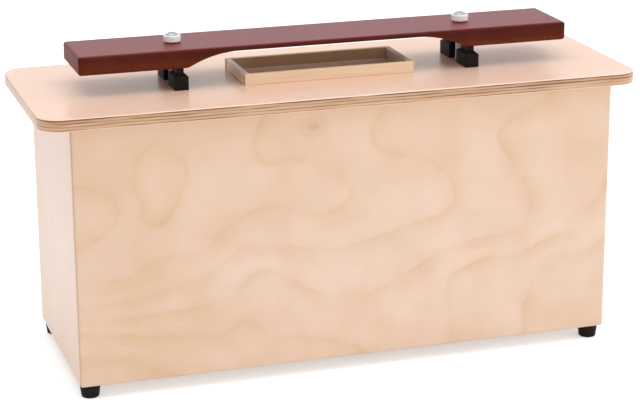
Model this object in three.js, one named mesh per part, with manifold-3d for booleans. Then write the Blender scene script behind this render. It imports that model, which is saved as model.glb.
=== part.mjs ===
// Bass resonator bar: one tuned hardwood bar held on rubber blocks above a plywood resonator box.
// Millimetres, +Z up. The origin lies on the floor under the middle of the box, +X runs along the
// bar, and the front panel faces -Y.

import * as THREE from 'three';
import { mergeVertices } from 'three/addons/utils/BufferGeometryUtils.js';
import Module from 'manifold-3d';

// Lid: a plywood board that stands out past the box, most of all at its ends, where it is carried
const LID_LENGTH = 600;
const LID_DEPTH = 217;
const LID_THICKNESS = 12;
const LID_CORNER_RADIUS = 21;
const LID_END_OVERHANG = 27;
const LID_FRONT_OVERHANG = 5.5;

// Box: four plywood walls mitred at the corners, with a bottom let in between them
const WALL_HEIGHT = 254.5;
const WALL_THICKNESS = 8;
const WALL_EDGE_RADIUS = 3;
const BOTTOM_THICKNESS = 6;
const CORNER_BATTEN_SIDE = 18;
const CORNER_BATTEN_CHAMFER = 5;

// Rails across the inside of the lid, which take the two bar screws
const NODE_RAIL_WIDTH = 30;
const NODE_RAIL_HEIGHT = 20;

// Sound port: a hole in the lid inside a low frame of four strips
const PORT_LENGTH = 163;
const PORT_DEPTH = 64;
const PORT_STRIP_THICKNESS = 5.5;
const PORT_STRIP_HEIGHT = 11;

// Sound bar: full thickness at its ends, arched underneath to a thin crown over the port
const BAR_LENGTH = 499;
const BAR_WIDTH = 76;
const BAR_THICKNESS = 18.5;
const BAR_CROWN_THICKNESS = 5;
const BAR_NODE_FROM_END = 100;
const BAR_EDGE_RADIUS = 2.5;
const ARCH_SPRING_FROM_NODE = 7.5;
const ARCH_RUN = 50;

// Rubber blocks under the bar: a foot, bevelled shoulders and a narrow neck that carries the bar
const BLOCK_WIDTH = 14;
const BLOCK_FOOT_HEIGHT = 13;
const BLOCK_BEVEL_HEIGHT = 3;
const BLOCK_NECK_WIDTH = 6.5;
const BLOCK_NECK_HEIGHT = 5.5;
const BLOCK_NECK_SETBACK = 4;
const BLOCK_GAP = 18;
const BLOCK_SETBACK = 1.5;

// Collars: a flange over the bar and a sleeve that stands on the lid, so that the bar stays loose
const BAR_PLAY = 0.75;
const COLLAR_FLANGE_RADIUS = 8.6;
const COLLAR_FLANGE_HEIGHT = 6.75;
const COLLAR_RIM_RADIUS = 1.2;
const COLLAR_SLEEVE_RADIUS = 3.8;
const SLEEVE_CLEARANCE = 1.25;

// Bar screws, with a domed cross-recessed head
const BAR_SCREW_RADIUS = 2.1;
const BAR_SCREW_LENGTH = 70;
const BAR_SCREW_TIP = 6;
const BAR_SCREW_HEAD_RADIUS = 6.3;
const BAR_SCREW_HEAD_RIM = 0.6;
const BAR_SCREW_DOME = 2.1;
const RECESS_SPAN = 6.4;
const RECESS_SLOT = 1.2;
const RECESS_DEPTH = 1.6;

// Feet: tapered rubber, each held by a screw and a steel washer sunk into it from below
const FOOT_HEIGHT = 13.5;
const FOOT_TOP_RADIUS = 10.2;
const FOOT_BOTTOM_RADIUS = 8.6;
const FOOT_EDGE_RADIUS = 1.8;
const FOOT_FROM_WALL = 4.5;
const FOOT_ROOF = 6;
const FOOT_WASHER_RADIUS = 4.4;
const FOOT_WASHER_THICKNESS = 1;
const FOOT_WASHER_CLEARANCE = 0.4;
const FOOT_SCREW_RADIUS = 2;
const FOOT_SCREW_LENGTH = 30;
const FOOT_SCREW_TIP = 4;
const FOOT_SCREW_HEAD_RADIUS = 3.7;
const FOOT_SCREW_HEAD_HEIGHT = 2.4;

// Room around a screw in the hole that it passes through or bites into
const SCREW_CLEARANCE = 0.4;
const PILOT_EXTRA_DEPTH = 2;

// Sides of round pieces and steps along quarter rounds
const ROUND_SIDES = 24;
const CORNER_STEPS = 8;
const ARCH_STEPS = 14;

// Levels and places that follow from the sizes above
const BOX_LENGTH = LID_LENGTH - 2 * LID_END_OVERHANG;
const BOX_DEPTH = LID_DEPTH - 2 * LID_FRONT_OVERHANG;
const INNER_LENGTH = BOX_LENGTH - 2 * WALL_THICKNESS;
const INNER_DEPTH = BOX_DEPTH - 2 * WALL_THICKNESS;
const LID_UNDERSIDE = FOOT_HEIGHT + WALL_HEIGHT;
const LID_TOP = LID_UNDERSIDE + LID_THICKNESS;
const BLOCK_HEIGHT = BLOCK_FOOT_HEIGHT + BLOCK_BEVEL_HEIGHT + BLOCK_NECK_HEIGHT;
const BAR_UNDERSIDE = LID_TOP + BLOCK_HEIGHT;
const NODE_X = BAR_LENGTH / 2 - BAR_NODE_FROM_END;
const SLEEVE_LENGTH = BLOCK_HEIGHT + BAR_THICKNESS + BAR_PLAY;
const COLLAR_HEIGHT = SLEEVE_LENGTH + COLLAR_FLANGE_HEIGHT;
const FOOT_X = INNER_LENGTH / 2 - FOOT_FROM_WALL;
const FOOT_Y = INNER_DEPTH / 2 - FOOT_FROM_WALL;
const BAR_HOLE_RADIUS = COLLAR_SLEEVE_RADIUS + SLEEVE_CLEARANCE;
const BAR_SCREW_HOLE = BAR_SCREW_RADIUS + SCREW_CLEARANCE;
const FOOT_WELL_RADIUS = FOOT_WASHER_RADIUS + FOOT_WASHER_CLEARANCE;
const FOOT_SCREW_HOLE = FOOT_SCREW_RADIUS + SCREW_CLEARANCE;
const FOOT_SCREW_SEAT = FOOT_HEIGHT - FOOT_ROOF - FOOT_WASHER_THICKNESS;

const SIDES = [['left', -1], ['right', 1]];
const ROWS = [['front', -1], ['rear', 1]];

const wasm = await Module();
wasm.setup();

// Colours and finishes of the materials
const BIRCH = { color: 0xe6c6a4, roughness: 0.55, metalness: 0 };
const PALE_BIRCH = { color: 0xf0d8c4, roughness: 0.5, metalness: 0 };
const BATTEN_PINE = { color: 0xd8b98c, roughness: 0.75, metalness: 0 };
const ROSEWOOD = { color: 0x6a2c22, roughness: 0.35, metalness: 0 };
const RUBBER = { color: 0x2c2a2a, roughness: 0.8, metalness: 0 };
const WHITE_PLASTIC = { color: 0xf2ece6, roughness: 0.4, metalness: 0 };
const STEEL = { color: 0xb9bcc0, roughness: 0.3, metalness: 1 };

const bassBar = new THREE.Group();

// One named piece of the object.
function addPiece(name, geometry, finish, x = 0, y = 0, z = 0) {
  const mesh = new THREE.Mesh(geometry, new THREE.MeshStandardMaterial(finish));
  mesh.name = name;
  mesh.position.set(x, y, z);
  bassBar.add(mesh);
}

// Points along an arc, both ends included.
function arcPoints(x, y, radius, fromAngle, toAngle, steps) {
  const points = [];
  for (let i = 0; i <= steps; i += 1) {
    const angle = fromAngle + (toAngle - fromAngle) * i / steps;
    points.push(new THREE.Vector2(x + radius * Math.cos(angle), y + radius * Math.sin(angle)));
  }
  return points;
}

// A full circle, with no point repeated.
function circlePoints(x, y, radius) {
  return arcPoints(x, y, radius, 0, 2 * Math.PI, ROUND_SIDES).slice(0, ROUND_SIDES);
}

function rectanglePoints(length, depth) {
  const x = length / 2;
  const y = depth / 2;
  return [[-x, -y], [x, -y], [x, y], [-x, y]].map(([px, py]) => new THREE.Vector2(px, py));
}

// A flat outline with holes, raised along +Z.
function prism(outline, height, holes = []) {
  const shape = new THREE.Shape(outline);
  shape.holes = holes.map((hole) => new THREE.Path(hole));
  return new THREE.ExtrudeGeometry(shape, { depth: height, bevelEnabled: false });
}

// An outline drawn in X and Z, carried along Y by a width that is centred on the outline.
function sideProfile(outline, width) {
  return prism(outline, width).rotateX(Math.PI / 2).translate(0, width / 2, 0);
}

// A profile of radius and height turned about +Z.
function turned(profile) {
  return new THREE.LatheGeometry(profile, ROUND_SIDES).rotateX(Math.PI / 2);
}

function toSolid(geometry) {
  const bare = geometry.clone();
  bare.deleteAttribute('normal');
  bare.deleteAttribute('uv');
  const merged = mergeVertices(bare);
  const vertProperties = new Float32Array(merged.attributes.position.array);
  const triVerts = new Uint32Array(merged.index.array);
  return new wasm.Manifold(new wasm.Mesh({ numProp: 3, vertProperties, triVerts }));
}

function toGeometry(solid) {
  const mesh = solid.getMesh();
  const geometry = new THREE.BufferGeometry();
  geometry.setAttribute('position', new THREE.BufferAttribute(mesh.vertProperties, 3));
  geometry.setIndex(new THREE.BufferAttribute(mesh.triVerts, 1));
  geometry.computeVertexNormals();
  return geometry;
}

// A body with one or more other bodies cut away from it.
function cut(body, ...tools) {
  let solid = toSolid(body);
  for (const tool of tools) {
    solid = solid.subtract(toSolid(tool));
  }
  return toGeometry(solid);
}

// A round drill for cutting holes, standing on z.
function drill(radius, height, x, y, z) {
  return prism(circlePoints(x, y, radius), height).translate(0, 0, z);
}

// Feet with their washers and screws, one under each corner of the box
function footGeometry() {
  const edge = FOOT_EDGE_RADIUS;
  const rim = arcPoints(FOOT_BOTTOM_RADIUS - edge, edge, edge, -Math.PI / 2, 0, CORNER_STEPS / 2);
  const roof = FOOT_HEIGHT - FOOT_ROOF;
  return turned([
    new THREE.Vector2(FOOT_WELL_RADIUS, 0),
    ...rim,
    new THREE.Vector2(FOOT_TOP_RADIUS, FOOT_HEIGHT),
    new THREE.Vector2(FOOT_SCREW_HOLE, FOOT_HEIGHT),
    new THREE.Vector2(FOOT_SCREW_HOLE, roof),
    new THREE.Vector2(FOOT_WELL_RADIUS, roof),
    new THREE.Vector2(FOOT_WELL_RADIUS, 0),
  ]);
}

function footScrewGeometry() {
  const headRim = FOOT_SCREW_HEAD_HEIGHT / 2;
  return turned([
    new THREE.Vector2(0, -FOOT_SCREW_HEAD_HEIGHT),
    new THREE.Vector2(FOOT_SCREW_HEAD_RADIUS - headRim, -FOOT_SCREW_HEAD_HEIGHT),
    new THREE.Vector2(FOOT_SCREW_HEAD_RADIUS, -headRim),
    new THREE.Vector2(FOOT_SCREW_HEAD_RADIUS, 0),
    new THREE.Vector2(FOOT_SCREW_RADIUS, 0),
    new THREE.Vector2(FOOT_SCREW_RADIUS, FOOT_SCREW_LENGTH - FOOT_SCREW_TIP),
    new THREE.Vector2(0, FOOT_SCREW_LENGTH),
  ]);
}

for (const [row, ySign] of ROWS) {
  for (const [side, xSign] of SIDES) {
    const x = xSign * FOOT_X;
    const y = ySign * FOOT_Y;
    const washer = prism(circlePoints(0, 0, FOOT_WASHER_RADIUS), FOOT_WASHER_THICKNESS,
      [circlePoints(0, 0, FOOT_SCREW_HOLE)]);
    addPiece(`foot_${row}_${side}`, footGeometry(), RUBBER, x, y, 0);
    addPiece(`foot_washer_${row}_${side}`, washer, STEEL, x, y, FOOT_SCREW_SEAT);
    addPiece(`foot_screw_${row}_${side}`, footScrewGeometry(), STEEL, x, y, FOOT_SCREW_SEAT);
  }
}

// Bottom panel between the walls, level with their lower edges
const footHoles = ROWS.flatMap(([, ySign]) => SIDES.map(
  ([, xSign]) => circlePoints(xSign * FOOT_X, ySign * FOOT_Y, FOOT_SCREW_HOLE)));
const bottomOutline = rectanglePoints(INNER_LENGTH, INNER_DEPTH);
addPiece('bottom_panel', prism(bottomOutline, BOTTOM_THICKNESS, footHoles), BIRCH, 0, 0, FOOT_HEIGHT);

// A wall seen from above: its outer face with half of each rounded corner, mitred to its inner face.
// It lies along +X on the -Y side of a box of the given length and depth, and turn swaps the axes.
function wallOutline(length, depth, sign, turn) {
  const radius = WALL_EDGE_RADIUS;
  const x = length / 2 - radius;
  const y = -depth / 2 + radius;
  const innerX = length / 2 - WALL_THICKNESS;
  const innerY = -depth / 2 + WALL_THICKNESS;
  const mitre = new THREE.Vector2(x + radius * Math.SQRT1_2, y - radius * Math.SQRT1_2);
  const rightEdge = arcPoints(x, y, radius, -Math.PI / 4, -Math.PI / 2, CORNER_STEPS / 2).slice(1);
  const leftEdge = rightEdge.map((p) => new THREE.Vector2(-p.x, p.y)).reverse();
  const points = [
    new THREE.Vector2(-innerX, innerY),
    new THREE.Vector2(innerX, innerY),
    mitre,
    ...rightEdge,
    ...leftEdge,
    new THREE.Vector2(-mitre.x, mitre.y),
  ];
  if (turn) {
    return points.map((p) => new THREE.Vector2(-sign * p.y, p.x));
  }
  return points.map((p) => new THREE.Vector2(p.x, -sign * p.y));
}

for (const [row, ySign] of ROWS) {
  const outline = wallOutline(BOX_LENGTH, BOX_DEPTH, ySign, false);
  addPiece(`${row}_panel`, prism(outline, WALL_HEIGHT), BIRCH, 0, 0, FOOT_HEIGHT);
}
for (const [side, xSign] of SIDES) {
  const outline = wallOutline(BOX_DEPTH, BOX_LENGTH, xSign, true);
  addPiece(`${side}_end_panel`, prism(outline, WALL_HEIGHT), BIRCH, 0, 0, FOOT_HEIGHT);
}

// Glued battens in the four inner corners, drilled from below for the foot screws
const battenHeight = WALL_HEIGHT - BOTTOM_THICKNESS;
const footScrewReach = FOOT_SCREW_SEAT + FOOT_SCREW_LENGTH - FOOT_HEIGHT - BOTTOM_THICKNESS;
for (const [row, ySign] of ROWS) {
  for (const [side, xSign] of SIDES) {
    const full = CORNER_BATTEN_SIDE;
    const open = CORNER_BATTEN_SIDE - CORNER_BATTEN_CHAMFER;
    const fromCorner = [[0, 0], [full, 0], [full, open], [open, full], [0, full]];
    const outline = fromCorner.map(([dx, dy]) => new THREE.Vector2(
      xSign * (INNER_LENGTH / 2 - dx), ySign * (INNER_DEPTH / 2 - dy)));
    const pilot = drill(FOOT_SCREW_HOLE, footScrewReach + 2 * PILOT_EXTRA_DEPTH,
      xSign * FOOT_X, ySign * FOOT_Y, -PILOT_EXTRA_DEPTH);
    addPiece(`corner_batten_${row}_${side}`, cut(prism(outline, battenHeight), pilot), BATTEN_PINE,
      0, 0, FOOT_HEIGHT + BOTTOM_THICKNESS);
  }
}

// Rails under the lid at the bar's two still points, from the front wall to the rear wall
for (const [side, xSign] of SIDES) {
  const outline = rectanglePoints(NODE_RAIL_WIDTH, INNER_DEPTH);
  const rail = prism(outline, NODE_RAIL_HEIGHT, [circlePoints(0, 0, BAR_SCREW_HOLE)]);
  const railUnderside = LID_UNDERSIDE - NODE_RAIL_HEIGHT;
  addPiece(`node_rail_${side}`, rail, BATTEN_PINE, xSign * NODE_X, 0, railUnderside);
}

// Lid with rounded corners, the sound port and the two screw holes
function lidOutline() {
  const radius = LID_CORNER_RADIUS;
  const x = LID_LENGTH / 2 - radius;
  const y = LID_DEPTH / 2 - radius;
  const quarter = Math.PI / 2;
  return [
    ...arcPoints(x, y, radius, 0, quarter, CORNER_STEPS),
    ...arcPoints(-x, y, radius, quarter, 2 * quarter, CORNER_STEPS),
    ...arcPoints(-x, -y, radius, 2 * quarter, 3 * quarter, CORNER_STEPS),
    ...arcPoints(x, -y, radius, 3 * quarter, 4 * quarter, CORNER_STEPS),
  ];
}

addPiece('lid', prism(lidOutline(), LID_THICKNESS, [
  rectanglePoints(PORT_LENGTH, PORT_DEPTH),
  circlePoints(-NODE_X, 0, BAR_SCREW_HOLE),
  circlePoints(NODE_X, 0, BAR_SCREW_HOLE),
]), PALE_BIRCH, 0, 0, LID_UNDERSIDE);

// Port frame: the front and rear strips run past the ends of the two side strips
for (const [row, ySign] of ROWS) {
  const length = PORT_LENGTH + 2 * PORT_STRIP_THICKNESS;
  const strip = prism(rectanglePoints(length, PORT_STRIP_THICKNESS), PORT_STRIP_HEIGHT);
  const y = ySign * (PORT_DEPTH + PORT_STRIP_THICKNESS) / 2;
  addPiece(`port_strip_${row}`, strip, BIRCH, 0, y, LID_TOP);
}
for (const [side, xSign] of SIDES) {
  const strip = prism(rectanglePoints(PORT_STRIP_THICKNESS, PORT_DEPTH), PORT_STRIP_HEIGHT);
  const x = xSign * (PORT_LENGTH + PORT_STRIP_THICKNESS) / 2;
  addPiece(`port_strip_${side}`, strip, BIRCH, x, 0, LID_TOP);
}

// Rubber blocks in pairs at each still point, with room between them for the collar. A block is bevelled
// on its sides and its ends: it is what its outline across the bar and the one along the bar both hold.
function blockOutline(footLength, neckLength) {
  const foot = footLength / 2;
  const neck = neckLength / 2;
  const shoulder = BLOCK_FOOT_HEIGHT + BLOCK_BEVEL_HEIGHT;
  const right = [[foot, 0], [foot, BLOCK_FOOT_HEIGHT], [neck, shoulder], [neck, BLOCK_HEIGHT]];
  const left = right.map(([x, z]) => [-x, z]).reverse();
  return [...right, ...left].map(([x, z]) => new THREE.Vector2(x, z));
}

function blockGeometry(length) {
  const across = sideProfile(blockOutline(BLOCK_WIDTH, BLOCK_NECK_WIDTH), length);
  const along = sideProfile(blockOutline(length, length - 2 * BLOCK_NECK_SETBACK), BLOCK_WIDTH);
  return toGeometry(toSolid(across).intersect(toSolid(along.rotateZ(Math.PI / 2))));
}

const blockLength = BAR_WIDTH / 2 - BLOCK_SETBACK - BLOCK_GAP / 2;
for (const [row, ySign] of ROWS) {
  for (const [side, xSign] of SIDES) {
    const y = ySign * (BLOCK_GAP + blockLength) / 2;
    addPiece(`support_block_${row}_${side}`, blockGeometry(blockLength), RUBBER, xSign * NODE_X, y, LID_TOP);
  }
}

// Sound bar: its side outline, arched between the still points, and its rounded cross-section. The bar
// is what both of them hold, drilled. Each flank of the arch meets the crown without a corner.
function barOutline() {
  const end = BAR_LENGTH / 2;
  const edge = BAR_EDGE_RADIUS;
  const rise = BAR_THICKNESS - BAR_CROWN_THICKNESS;
  const spring = NODE_X - ARCH_SPRING_FROM_NODE;
  const crown = spring - ARCH_RUN;
  const radius = (ARCH_RUN * ARCH_RUN + rise * rise) / (2 * rise);
  const sweep = Math.asin(ARCH_RUN / radius);
  const top = Math.PI / 2;
  const right = [
    ...arcPoints(crown, rise - radius, radius, top, top - sweep, ARCH_STEPS),
    ...arcPoints(end - edge, edge, edge, -Math.PI / 2, 0, CORNER_STEPS / 2),
    ...arcPoints(end - edge, BAR_THICKNESS - edge, edge, 0, Math.PI / 2, CORNER_STEPS / 2),
  ];
  const left = right.map((p) => new THREE.Vector2(-p.x, p.y)).reverse();
  return [...right, ...left];
}

function barSection() {
  const edge = BAR_EDGE_RADIUS;
  const right = [
    ...arcPoints(BAR_WIDTH / 2 - edge, edge, edge, -Math.PI / 2, 0, CORNER_STEPS / 2),
    ...arcPoints(BAR_WIDTH / 2 - edge, BAR_THICKNESS - edge, edge, 0, Math.PI / 2, CORNER_STEPS / 2),
  ];
  const left = right.map((p) => new THREE.Vector2(-p.x, p.y)).reverse();
  return [...right, ...left];
}

const barBlank = prism(barSection(), BAR_LENGTH).rotateX(Math.PI / 2).rotateZ(Math.PI / 2);
barBlank.translate(-BAR_LENGTH / 2, 0, 0);
const archedBar = toSolid(sideProfile(barOutline(), BAR_WIDTH)).intersect(toSolid(barBlank));
const barHoles = SIDES.map(([, xSign]) => drill(
  BAR_HOLE_RADIUS, 3 * BAR_THICKNESS, xSign * NODE_X, 0, -BAR_THICKNESS));
const drilledBar = cut(toGeometry(archedBar), ...barHoles);
addPiece('sound_bar', drilledBar, ROSEWOOD, 0, 0, BAR_UNDERSIDE);

// Collars and the screws that hold them down through the lid into the rails
function collarGeometry() {
  const rim = COLLAR_RIM_RADIUS;
  const edge = COLLAR_FLANGE_RADIUS - rim;
  return turned([
    new THREE.Vector2(BAR_SCREW_HOLE, 0),
    new THREE.Vector2(COLLAR_SLEEVE_RADIUS, 0),
    new THREE.Vector2(COLLAR_SLEEVE_RADIUS, SLEEVE_LENGTH),
    ...arcPoints(edge, SLEEVE_LENGTH + rim, rim, -Math.PI / 2, 0, CORNER_STEPS / 2),
    ...arcPoints(edge, COLLAR_HEIGHT - rim, rim, 0, Math.PI / 2, CORNER_STEPS / 2),
    new THREE.Vector2(BAR_SCREW_HOLE, COLLAR_HEIGHT),
    new THREE.Vector2(BAR_SCREW_HOLE, 0),
  ]);
}

function barScrewGeometry() {
  const headTop = BAR_SCREW_HEAD_RIM + BAR_SCREW_DOME;
  const headRadius = BAR_SCREW_HEAD_RADIUS;
  const domeRadius = (headRadius * headRadius + BAR_SCREW_DOME * BAR_SCREW_DOME) / (2 * BAR_SCREW_DOME);
  const domeSweep = Math.asin(headRadius / domeRadius);
  const top = Math.PI / 2;
  const dome = arcPoints(0, headTop - domeRadius, domeRadius, top - domeSweep, top, CORNER_STEPS);
  const body = turned([
    new THREE.Vector2(0, -BAR_SCREW_LENGTH),
    new THREE.Vector2(BAR_SCREW_RADIUS, BAR_SCREW_TIP - BAR_SCREW_LENGTH),
    new THREE.Vector2(BAR_SCREW_RADIUS, 0),
    new THREE.Vector2(headRadius, 0),
    ...dome.slice(0, CORNER_STEPS),
    new THREE.Vector2(0, headTop),
  ]);
  const floor = headTop - RECESS_DEPTH;
  const slots = [[RECESS_SPAN, RECESS_SLOT], [RECESS_SLOT, RECESS_SPAN]].map(
    ([length, depth]) => prism(rectanglePoints(length, depth), 2 * RECESS_DEPTH).translate(0, 0, floor));
  return cut(body, ...slots);
}

for (const [side, xSign] of SIDES) {
  addPiece(`bar_collar_${side}`, collarGeometry(), WHITE_PLASTIC, xSign * NODE_X, 0, LID_TOP);
  addPiece(`bar_screw_${side}`, barScrewGeometry(), STEEL, xSign * NODE_X, 0, LID_TOP + COLLAR_HEIGHT);
}

export default bassBar;
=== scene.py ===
import math
from functools import partial

import bpy
import numpy as np
from mathutils import Matrix, Vector


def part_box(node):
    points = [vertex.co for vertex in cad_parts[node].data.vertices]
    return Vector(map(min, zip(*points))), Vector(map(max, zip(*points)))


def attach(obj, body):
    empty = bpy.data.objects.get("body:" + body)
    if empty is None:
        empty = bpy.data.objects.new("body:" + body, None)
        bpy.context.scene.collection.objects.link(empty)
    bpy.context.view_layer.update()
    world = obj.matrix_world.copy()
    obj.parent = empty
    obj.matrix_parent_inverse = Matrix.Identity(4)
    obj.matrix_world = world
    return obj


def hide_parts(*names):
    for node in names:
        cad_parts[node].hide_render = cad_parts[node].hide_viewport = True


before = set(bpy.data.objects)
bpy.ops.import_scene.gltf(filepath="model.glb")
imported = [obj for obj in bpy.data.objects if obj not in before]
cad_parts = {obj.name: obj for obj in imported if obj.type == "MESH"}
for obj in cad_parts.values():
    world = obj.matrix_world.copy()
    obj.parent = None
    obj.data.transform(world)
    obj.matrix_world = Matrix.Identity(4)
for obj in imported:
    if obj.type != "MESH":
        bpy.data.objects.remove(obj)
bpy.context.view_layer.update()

# Box walls: four boards of 8 mm birch plywood, mitred together at the corners and glued up.
# The outer corners and the lower edge are rounded over, which cuts into the plies, and the faces are
# sanded and lacquered, so that the growth rings of the rotary-cut veneer show as broad contour lines.
MM = 0.001
WALL_THICKNESS = 8.0
WALL_PLIES = 7
WALL_CORNER = 3.0
WALL_FOOT_ROUND = 2.0
WALL_SKIN = 0.95
WALL_GRAIN = (55, 55, 1400)
MITRE_GAP = 0.25
VENEER_STEP = 3.0
SHARP_ANGLE = 28
BLUNT_ANGLE = 40
WALL_TONES = ("e4c7b0", "e7ccba", "dcba9d")
END_TONES = ("e3c1a5", "e6c5ae", "dbb495")
BIRCH_RING = "c59135"
BIRCH_KNOT = "bf8049"
RING_LINE = 2.6
RING_FADE = 12.0
RING_EDGE = 0.2
RING_WOBBLE = 7.0
RING_COVER = (0.02, 0.3)
LEAST_SLOPE = 0.006
KNOT_HALO = 0.15
KNOT_EYE = 0.3
CLOUDINESS = 0.4
FIBRE_TINT = 0.07
FACE_VENEER = 0.75
PLY_WOBBLE = 0.3
PLY_LONG = "dab28f"
PLY_TAN = "b68453"
PLY_END = "6b3c20"
# Painted highlight: the pale colour laid on the rounded arrises of the lid.
ARRIS_HIGHLIGHT = "fdeedd"
SHORT_EDGE_STAIN = 0.5
LOWER_PLY_STAIN = 0.55
# Painted shade towards a board's left end, between these two places along it in mm: more tan plies, dimmer
# arris.
LEFT_PAINTED_SHADE_FROM = -260.0
LEFT_PAINTED_SHADE_TO = -100.0

# Where the growth rings come up through the front wall's veneer, by the number of the ring, in mm
# right of the wall's middle and up from its lower edge. The sheet is peeled off the log in one long
# cut, so a ring that the knife runs almost level with opens out into islands and long tongues.
RING_PLACES = {
    0.55: [(-222, 185), (-225, 125), (-220, 245), (-265, 225), (-135, 200), (-135, 250), (-45, 175)],
    1.0: [(-248, 197), (-235, 188), (-230, 175), (-234, 160), (-247, 148), (-212, 190), (-208, 165),
          (-195, 154), (-182, 160), (-170, 182), (-162, 205), (-172, 222), (-192, 236), (-270, 110),
          (-205, 115), (-150, 125), (-120, 148), (-105, 157), (-55, 157), (-10, 157), (0, 172),
          (-30, 195), (-85, 206), (-98, 222), (-88, 250)],
    1.3: [(-188, 195), (-268, 172)],
    2.0: [(-270, 80), (-197, 87), (-152, 97), (-128, 112), (-107, 126), (-80, 122), (-37, 116),
          (10, 117), (50, 127), (93, 137), (106, 158), (92, 185), (55, 200), (25, 212), (20, 230),
          (30, 248)],
    3.0: [(-245, 66), (-185, 67), (-122, 78), (-87, 98), (-53, 80), (-20, 66), (40, 71), (85, 95),
          (135, 108), (165, 110), (187, 135), (178, 165), (152, 210), (168, 229), (190, 240)],
    3.4: [(225, 175), (60, 30)],
    4.0: [(-266, 54), (-166, 41), (-130, 38), (-112, 50), (-85, 30), (-53, 27), (-10, 17), (105, 10),
          (104, 72), (145, 88), (200, 97), (235, 107), (270, 155)],
    4.4: [(150, 45)],
    5.0: [(-255, 28), (-220, 23), (-195, 8), (270, 95), (220, 80), (195, 58), (184, 30)],
    5.3: [(255, 30)],
}
SHEET_UNIT = 100
SHEET_SLACK = 3e-4
SLOPE_STEP = 0.5
KNOT = (-38.0, 238.0)
KNOT_HALF = (16.0, 11.0)
PALE_MIDDLE = (60.0, 100.0)
PALE_HALF = (300.0, 130.0)
# Painted shade: a band of the warmer tone along the walls' upper edge, where the lid stands out over them.
TOP_EDGE = 262.0
PAINTED_LID_SHADE_HALF = 20.0
PAINTED_LID_SHADE = 0.5


def ring_number(across, up):
    """Ring number at points of the veneer: the smoothest sheet near the ring places, which is a sum of
    r*r*log(r) of the distances r to them plus a tilted plane."""
    places = np.array([place for row in RING_PLACES.values() for place in row], float) / SHEET_UNIT
    numbers = np.concatenate([np.full(len(row), number) for number, row in RING_PLACES.items()])

    def swell(first, second):
        distance = np.linalg.norm(first[..., None, :] - second, axis=-1) + 1e-9
        return distance ** 2 * np.log(distance)

    plane = np.c_[np.ones(len(places)), places]
    stiff = swell(places, places) + np.eye(len(places)) * SHEET_SLACK
    system = np.block([[stiff, plane], [plane.T, np.zeros((3, 3))]])
    weights = np.linalg.solve(system, np.r_[numbers, 0, 0, 0])
    spot = np.stack([across, up], -1) / SHEET_UNIT
    return swell(spot, places) @ weights[:-3] + weights[-3] + spot @ weights[-2:]


def bell(across, up, middle, half):
    """A bell over the veneer: 1 at its middle, falling off with the square of the way in half widths."""
    return np.exp(-((across - middle[0]) / half[0]) ** 2 - ((up - middle[1]) / half[1]) ** 2)


def sheet_warmth(across, up):
    """Warmth of the veneer's colour: 0 in the pale middle of the sheet and 1 far from it, by a bell, and
    more in a band along its upper edge, which is painted shade under the lid's overhang."""
    # The band is painted shade under the lid's overhang.
    band = PAINTED_LID_SHADE * np.exp(-((TOP_EDGE - up) / PAINTED_LID_SHADE_HALF) ** 2)
    return 1 + band - bell(across, up, PALE_MIDDLE, PALE_HALF)


def figure(rule, across, up):
    """The ring number by a rule, and how many rings there are to a mm there: the length of its slope,
    from a short step each way."""
    number = rule(across, up)
    side, rise = rule(across + SLOPE_STEP, up) - number, rule(across, up + SLOPE_STEP) - number
    return number, np.hypot(side, rise) / SLOPE_STEP


def box_mm(node):
    """Lowest and highest corner of a CAD node's box, in mm."""
    low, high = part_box(node)
    return np.array(low) / MM, np.array(high) / MM


def skin(name, rings, ends="cap", sharp=SHARP_ANGLE, **values):
    """Surface over rings[i, j], point j of ring i, in mm: each four neighbours make a face, and every ring
    closes on itself. The ends are capped with a flat face, or the last ring joins the first. values
    are numbers per point, kept as attributes. A surface of negative volume is turned outwards."""
    rows, count = rings.shape[:2]
    index = np.arange(rows * count).reshape(rows, count)
    lower, upper = (index, np.roll(index, -1, 0)) if ends == "join" else (index[:-1], index[1:])
    quads = np.stack([lower, np.roll(lower, -1, 1), np.roll(upper, -1, 1), upper], -1).reshape(-1, 4)
    caps = [] if ends == "join" else [index[0, ::-1], index[-1]]
    corners = np.concatenate([quads.ravel(), *caps])
    sizes = np.concatenate([np.full(len(quads), 4), [len(cap) for cap in caps]]).astype(int)
    mesh = bpy.data.meshes.new(name)
    mesh.vertices.add(rows * count)
    mesh.loops.add(len(corners))
    mesh.polygons.add(len(sizes))
    mesh.vertices.foreach_set("co", (rings * MM).astype(np.float32).ravel())
    mesh.loops.foreach_set("vertex_index", corners.astype(np.int32))
    mesh.polygons.foreach_set("loop_start", (np.cumsum(sizes) - sizes).astype(np.int32))
    mesh.polygons.foreach_set("use_smooth", sizes == 4)
    for key, value in values.items():
        layer = mesh.attributes.new(key, "FLOAT", "POINT")
        layer.data.foreach_set("value", np.broadcast_to(value, (rows, count)).astype(np.float32).ravel())
    mesh.update(calc_edges=True)
    points = rings.reshape(-1, 3)
    first, second, third, fourth = (points[quads[:, k]] for k in range(4))
    volume = np.einsum("ij,ij->", first, np.cross(second, third) + np.cross(third, fourth))
    for cap in caps:
        fan = points[cap]
        volume += np.einsum("j,ij->", fan[0], np.cross(fan[1:-1], fan[2:]))
    if volume < 0:
        mesh.flip_normals()
    mesh.set_sharp_from_angle(angle=math.radians(sharp))
    piece = bpy.data.objects.new(name, mesh)
    bpy.context.collection.objects.link(piece)
    return piece


def dress(piece, finish):
    """Gives the whole of a piece one finish."""
    piece.data.materials.clear()
    piece.data.materials.append(finish)


def fix_on(piece, body, slot, finish, *nodes):
    """Gives a piece its finish, lets it ride on its body and stand for its CAD nodes."""
    dress(piece, finish)
    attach(piece, body)
    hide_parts(*nodes)


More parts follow.
